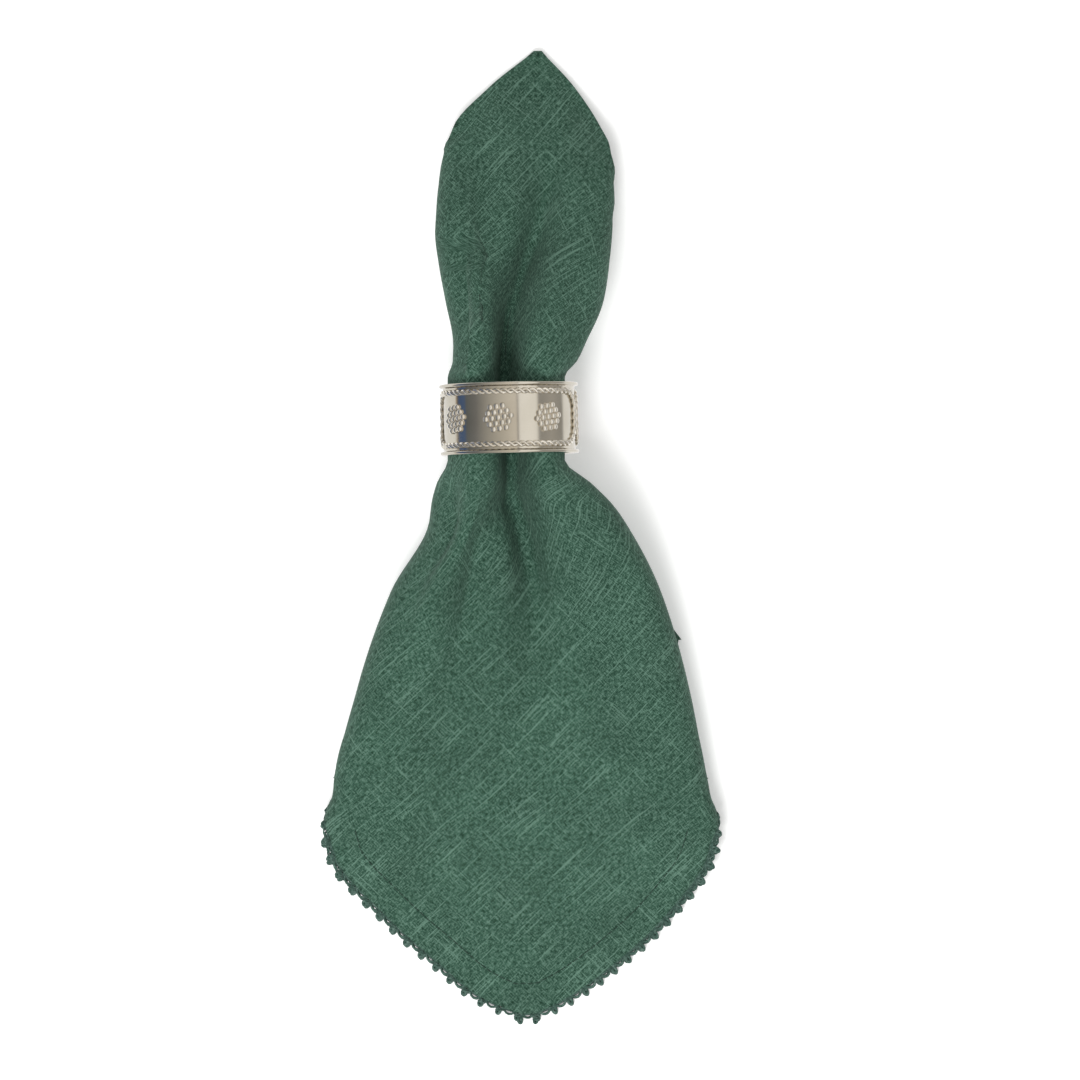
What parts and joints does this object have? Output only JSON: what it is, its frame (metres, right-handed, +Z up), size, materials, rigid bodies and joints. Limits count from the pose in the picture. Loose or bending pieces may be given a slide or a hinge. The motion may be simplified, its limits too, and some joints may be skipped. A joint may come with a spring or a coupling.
{
  "type": "napkin in a ring",
  "caption": "Folded linen napkin with a crocheted lace edging, drawn through a polished metal napkin ring with rope and bead trim.",
  "frame": {"origin": "middle of the underside of the whole object, on the surface that it lies on", "axes": "+Y along the napkin towards its closed corner, +Z up out of the table, +X to the right seen from above with the closed corner at the top"},
  "size_m": [0.1396, 0.3388, 0.0485],
  "materials": {
    "linen": "plain-weave linen, dark green, softly slubbed",
    "lace": "crocheted cotton thread, dark green",
    "ring_metal": "polished warm nickel plate",
    "ring_trim": "twisted wire and small beads, nickel plated"
  },
  "bodies": {
    "root": {"napkin": "linen", "lace_edging_1": "lace", "lace_edging_2": "lace", "lace_edging_3": "lace", "lace_edging_4": "lace", "ring_band": "ring_metal", "ring_rim_upper": "ring_metal", "ring_rim_lower": "ring_metal", "ring_rope_front": "ring_trim", "ring_rope_back": "ring_trim", "ring_rosette_1": "ring_trim", "ring_rosette_2": "ring_trim", "ring_rosette_3": "ring_trim", "ring_rosette_4": "ring_trim", "ring_rosette_5": "ring_trim", "ring_rosette_6": "ring_trim"}
  },
  "joints": []
}
